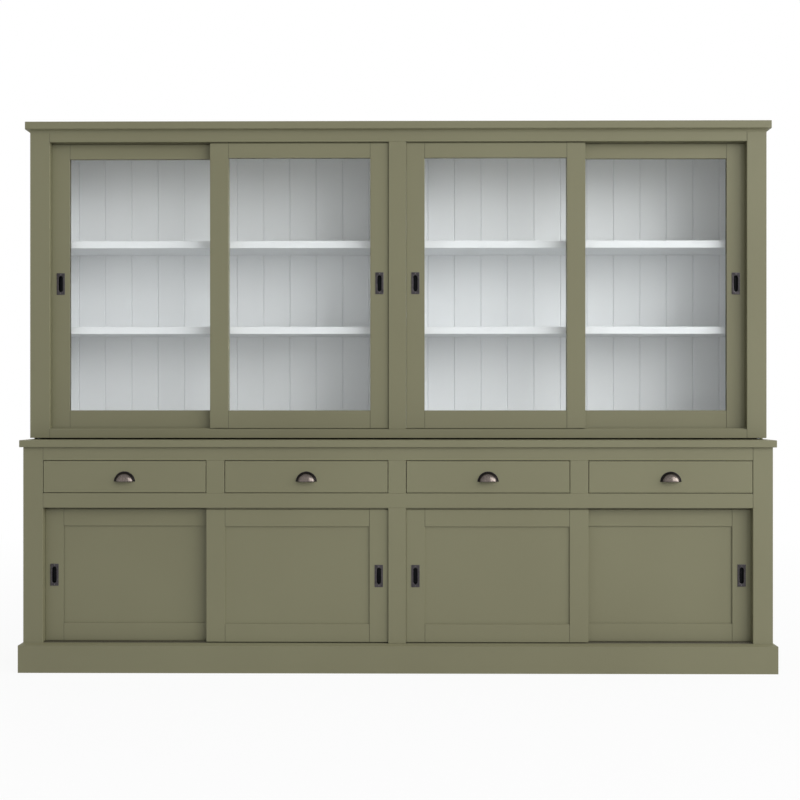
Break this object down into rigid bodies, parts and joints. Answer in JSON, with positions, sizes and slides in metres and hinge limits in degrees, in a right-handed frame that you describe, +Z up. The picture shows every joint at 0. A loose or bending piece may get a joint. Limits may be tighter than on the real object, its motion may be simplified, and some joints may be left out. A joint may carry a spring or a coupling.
{
  "type": "display cabinet",
  "caption": "Wide painted display cabinet: a base with drawers over sliding panel doors carries a shallower upper case with shelves behind sliding glass doors.",
  "frame": {"origin": "on the floor, midway between the two sides, and midway between the back of the cabinet and the front of its drawer pulls", "axes": "+Z up, +X to the right of a person who faces the doors, -Y towards that person"},
  "size_m": [3, 0.504, 2.2],
  "materials": {
    "olive_paint": "satin olive green paint on wood",
    "white_paint": "satin white paint on wood",
    "bare_wood": "plain planed wood",
    "dark_wood": "hardwood darkened by wax",
    "clear_glass": "clear float glass",
    "dark_metal": "dark bronzed iron, worn bright at the edges",
    "steel": "plain steel"
  },
  "bodies": {
    "carcass": {"plinth": "olive_paint", "base_posts": "olive_paint", "base_rails": "olive_paint", "drawer_muntins": "olive_paint", "base_side_panels": "olive_paint", "worktop": "olive_paint", "upper_posts": "olive_paint", "upper_rails": "olive_paint", "upper_side_panels": "olive_paint", "cornice_board": "olive_paint", "cornice_moulding": "olive_paint", "upper_door_runners": "olive_paint", "base_floor": "white_paint", "base_back": "white_paint", "drawer_decks": "white_paint", "upper_floor": "white_paint", "upper_back": "white_paint", "partitions": "white_paint", "shelves": "white_paint", "shelf_battens": "white_paint", "floor_bearers": "bare_wood", "drawer_runners": "bare_wood", "base_door_runners": "dark_wood", "back_screws": "steel"},
    "left_outer_drawer": {"left_outer_drawer_front": "olive_paint", "left_outer_drawer_box": "bare_wood", "left_outer_cup_pull": "dark_metal"},
    "left_outer_panel_door": {"left_outer_panel_door_frame": "olive_paint", "left_outer_door_panel": "olive_paint", "left_outer_panel_door_pull": "dark_metal"},
    "left_outer_glass_door": {"left_outer_glass_door_frame": "olive_paint", "left_outer_door_glass": "clear_glass", "left_outer_glass_door_pull": "dark_metal"},
    "left_inner_drawer": {"left_inner_drawer_front": "olive_paint", "left_inner_drawer_box": "bare_wood", "left_inner_cup_pull": "dark_metal"},
    "left_inner_panel_door": {"left_inner_panel_door_frame": "olive_paint", "left_inner_door_panel": "olive_paint", "left_inner_panel_door_pull": "dark_metal"},
    "left_inner_glass_door": {"left_inner_glass_door_frame": "olive_paint", "left_inner_door_glass": "clear_glass", "left_inner_glass_door_pull": "dark_metal"},
    "right_inner_drawer": {"right_inner_drawer_front": "olive_paint", "right_inner_drawer_box": "bare_wood", "right_inner_cup_pull": "dark_metal"},
    "right_inner_panel_door": {"right_inner_panel_door_frame": "olive_paint", "right_inner_door_panel": "olive_paint", "right_inner_panel_door_pull": "dark_metal"},
    "right_inner_glass_door": {"right_inner_glass_door_frame": "olive_paint", "right_inner_door_glass": "clear_glass", "right_inner_glass_door_pull": "dark_metal"},
    "right_outer_drawer": {"right_outer_drawer_front": "olive_paint", "right_outer_drawer_box": "bare_wood", "right_outer_cup_pull": "dark_metal"},
    "right_outer_panel_door": {"right_outer_panel_door_frame": "olive_paint", "right_outer_door_panel": "olive_paint", "right_outer_panel_door_pull": "dark_metal"},
    "right_outer_glass_door": {"right_outer_glass_door_frame": "olive_paint", "right_outer_door_glass": "clear_glass", "right_outer_glass_door_pull": "dark_metal"}
  },
  "joints": [
    {"name": "left_outer_drawer_slide", "type": "slide", "parent": "carcass", "child": "left_outer_drawer", "axis": [0, -1, 0], "range_m": [0, 0.33]},
    {"name": "left_outer_panel_door_slide", "type": "slide", "parent": "carcass", "child": "left_outer_panel_door", "axis": [1, 0, 0], "range_m": [0, 0.6475]},
    {"name": "left_outer_glass_door_slide", "type": "slide", "parent": "carcass", "child": "left_outer_glass_door", "axis": [1, 0, 0], "range_m": [0, 0.6475]},
    {"name": "left_inner_drawer_slide", "type": "slide", "parent": "carcass", "child": "left_inner_drawer", "axis": [0, -1, 0], "range_m": [0, 0.33]},
    {"name": "left_inner_panel_door_slide", "type": "slide", "parent": "carcass", "child": "left_inner_panel_door", "axis": [1, 0, 0], "range_m": [-0.6475, 0]},
    {"name": "left_inner_glass_door_slide", "type": "slide", "parent": "carcass", "child": "left_inner_glass_door", "axis": [1, 0, 0], "range_m": [-0.6475, 0]},
    {"name": "right_inner_drawer_slide", "type": "slide", "parent": "carcass", "child": "right_inner_drawer", "axis": [0, -1, 0], "range_m": [0, 0.33]},
    {"name": "right_inner_panel_door_slide", "type": "slide", "parent": "carcass", "child": "right_inner_panel_door", "axis": [1, 0, 0], "range_m": [0, 0.6475]},
    {"name": "right_inner_glass_door_slide", "type": "slide", "parent": "carcass", "child": "right_inner_glass_door", "axis": [1, 0, 0], "range_m": [0, 0.6475]},
    {"name": "right_outer_drawer_slide", "type": "slide", "parent": "carcass", "child": "right_outer_drawer", "axis": [0, -1, 0], "range_m": [0, 0.33]},
    {"name": "right_outer_panel_door_slide", "type": "slide", "parent": "carcass", "child": "right_outer_panel_door", "axis": [1, 0, 0], "range_m": [-0.6475, 0]},
    {"name": "right_outer_glass_door_slide", "type": "slide", "parent": "carcass", "child": "right_outer_glass_door", "axis": [1, 0, 0], "range_m": [-0.6475, 0]}
  ]
}
